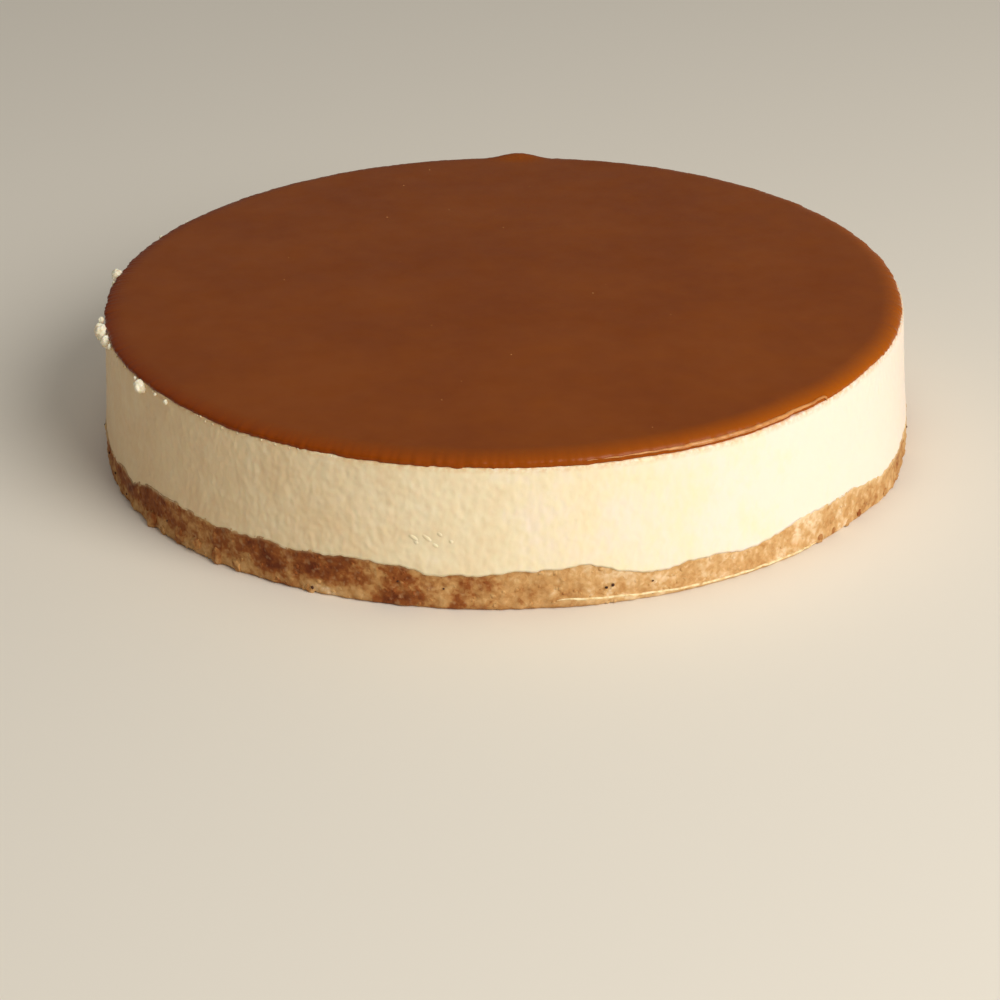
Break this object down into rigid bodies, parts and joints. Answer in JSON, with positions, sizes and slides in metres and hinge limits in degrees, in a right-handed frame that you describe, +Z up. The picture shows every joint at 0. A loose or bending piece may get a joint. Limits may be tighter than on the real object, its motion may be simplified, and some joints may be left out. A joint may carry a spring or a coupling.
{
  "type": "baked cheesecake",
  "caption": "Whole round baked cheesecake: crumb base, pale set filling with a straight uneven side, and a glossy caramel-brown spread with a rolled edge.",
  "frame": {"origin": "centre of the underside, on the surface that the cake stands on", "axes": "+Z up; -Y is the front; the folded lip of the spread is at the front right and its peak at the back"},
  "size_m": [0.2624, 0.2553, 0.0502],
  "materials": {
    "crumb_base": "pressed biscuit crumb, mottled brown, rough and matt",
    "cheese_filling": "set cream cheese, pale cream, moist and soft with a faint broken sheen",
    "spread_topping": "smooth caramelised biscuit spread, brown, soft gloss"
  },
  "bodies": {
    "root": {"crumb_base": "crumb_base", "cheese_filling": "cheese_filling", "spread_topping": "spread_topping"}
  },
  "joints": []
}
